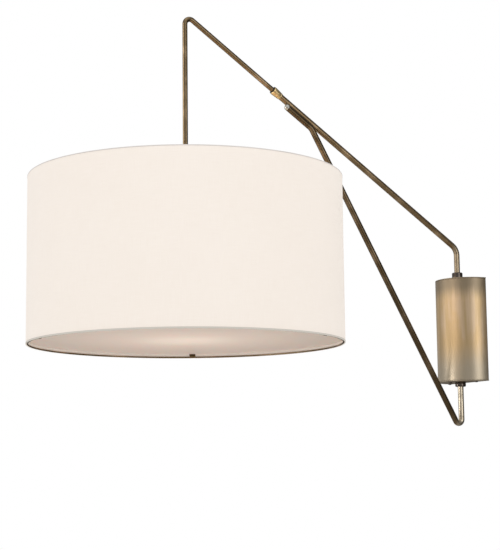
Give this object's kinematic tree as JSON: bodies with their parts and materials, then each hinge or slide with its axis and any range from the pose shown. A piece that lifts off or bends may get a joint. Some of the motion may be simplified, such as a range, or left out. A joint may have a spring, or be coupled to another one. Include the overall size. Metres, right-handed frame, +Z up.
{
  "type": "swing arm wall sconce",
  "caption": "Wall sconce: half-round brass housing, braced tubular arm that swings, telescoping rod with a lock collar, and a large white drum shade hung from its end.",
  "frame": {"origin": "middle of the housing's flat back, on the wall", "axes": "+Z up along the swing axis, -Y out of the wall along the arm at rest, +Y into the wall"},
  "size_m": [0.6, 0.9784, 0.7885],
  "materials": {
    "housing_brass": "vertically brushed antique brass",
    "tube_brass": "satin antique brass",
    "bright_brass": "polished",
    "dark_bronze": "polished dark bronze",
    "braze_silver": "silver brazing alloy",
    "zinc_steel": "zinc plated",
    "white_wire": "white enamel",
    "black_rubber": "matt",
    "nylon": "natural nylon",
    "linen": "off-white woven cloth on a translucent backing",
    "opal_acrylic": "frosted opal",
    "ceramic": "glazed white",
    "lamp_cap": "bright",
    "opal_glass": "opal white"
  },
  "bodies": {
    "wall_unit": {"wall_bracket": "zinc_steel", "housing_shell": "housing_brass", "top_disc": "housing_brass", "bottom_disc": "housing_brass", "bottom_disc_screw_1": "dark_bronze", "bottom_disc_screw_2": "dark_bronze", "bottom_disc_screw_3": "dark_bronze", "ground_screw": "bright_brass", "stop_pin_right": "zinc_steel", "stop_pin_left": "zinc_steel", "terminal_block": "nylon", "terminal_screw_1": "bright_brass", "terminal_screw_2": "bright_brass", "terminal_screw_3": "bright_brass", "upper_collar": "dark_bronze", "lower_collar": "dark_bronze", "upper_locknut": "zinc_steel", "lower_locknut": "zinc_steel", "thrust_washer": "nylon"},
    "arm": {"upper_tube": "tube_brass", "brace_tube": "tube_brass", "brace_end_cap": "braze_silver", "braze_strip": "braze_silver", "lower_retainer": "zinc_steel", "upper_retainer": "zinc_steel", "stop_lug": "zinc_steel", "stem_grommet": "black_rubber", "collet": "nylon"},
    "lock": {"lock_collar": "bright_brass", "lock_ring": "black_rubber"},
    "extension": {"extension_rod": "tube_brass", "rod_grommet": "black_rubber", "spider_frame": "white_wire", "bottom_ring": "white_wire", "shade_drum": "linen", "hub_nut_upper": "tube_brass", "hub_nut_lower": "tube_brass", "diffuser": "opal_acrylic", "diffuser_clip_1": "zinc_steel", "diffuser_clip_2": "zinc_steel", "diffuser_clip_3": "zinc_steel", "cluster_body": "tube_brass", "cluster_nut": "zinc_steel", "cluster_cap": "tube_brass", "lamp_holder_1": "ceramic", "lamp_holder_2": "ceramic", "lamp_holder_3": "ceramic", "lamp_cap_1": "lamp_cap", "lamp_cap_2": "lamp_cap", "lamp_cap_3": "lamp_cap", "lamp_globe_1": "opal_glass", "lamp_globe_2": "opal_glass", "lamp_globe_3": "opal_glass"}
  },
  "joints": [
    {"name": "arm_swing", "type": "hinge", "parent": "wall_unit", "child": "arm", "pos_m": [0, -0.0255, 0], "axis": [0, 0, 1], "range_deg": [-60, 60]},
    {"name": "collar_turn", "type": "hinge", "parent": "arm", "child": "lock", "pos_m": [0, -0.4705, 0.46208], "axis": [0, -0.8396, 0.5432], "range_deg": [-90, 90]},
    {"name": "arm_extension", "type": "slide", "parent": "arm", "child": "extension", "axis": [0, -0.8396, 0.5432], "range_m": [-0.08, 0.15]}
  ]
}
